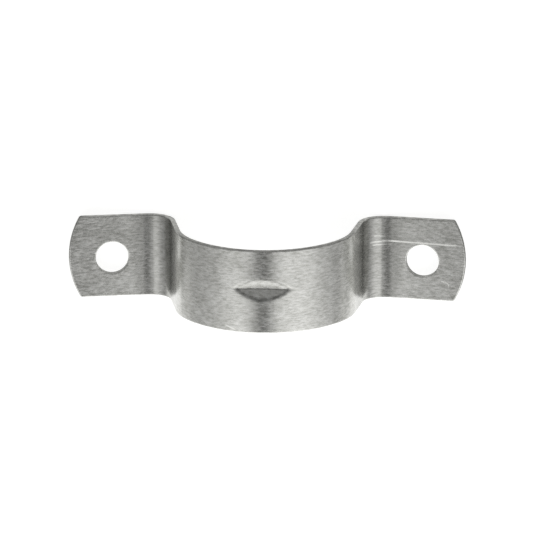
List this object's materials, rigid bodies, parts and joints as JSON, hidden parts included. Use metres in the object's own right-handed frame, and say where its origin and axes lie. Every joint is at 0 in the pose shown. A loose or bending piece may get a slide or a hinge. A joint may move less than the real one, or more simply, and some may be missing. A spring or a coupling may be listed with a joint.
{
  "type": "conduit strap",
  "caption": "Half-round strap folded from one strip of galvanised sheet steel, with a screw hole in each raised ear and a pressed dart at the crown that grips the conduit.",
  "frame": {"origin": "midway between the two ears, on the wall plane that the foot bends stand on", "axes": "+X along the strap from ear to ear, +Y across the strip, along the conduit, +Z away from the wall, towards the crown"},
  "size_m": [0.1194, 0.0254, 0.0354],
  "materials": {
    "galvanised_steel": "rolled galvanised sheet, satin, with fine lengthwise rolling lines"
  },
  "bodies": {
    "root": {"conduit_strap": "galvanised_steel"}
  },
  "joints": []
}
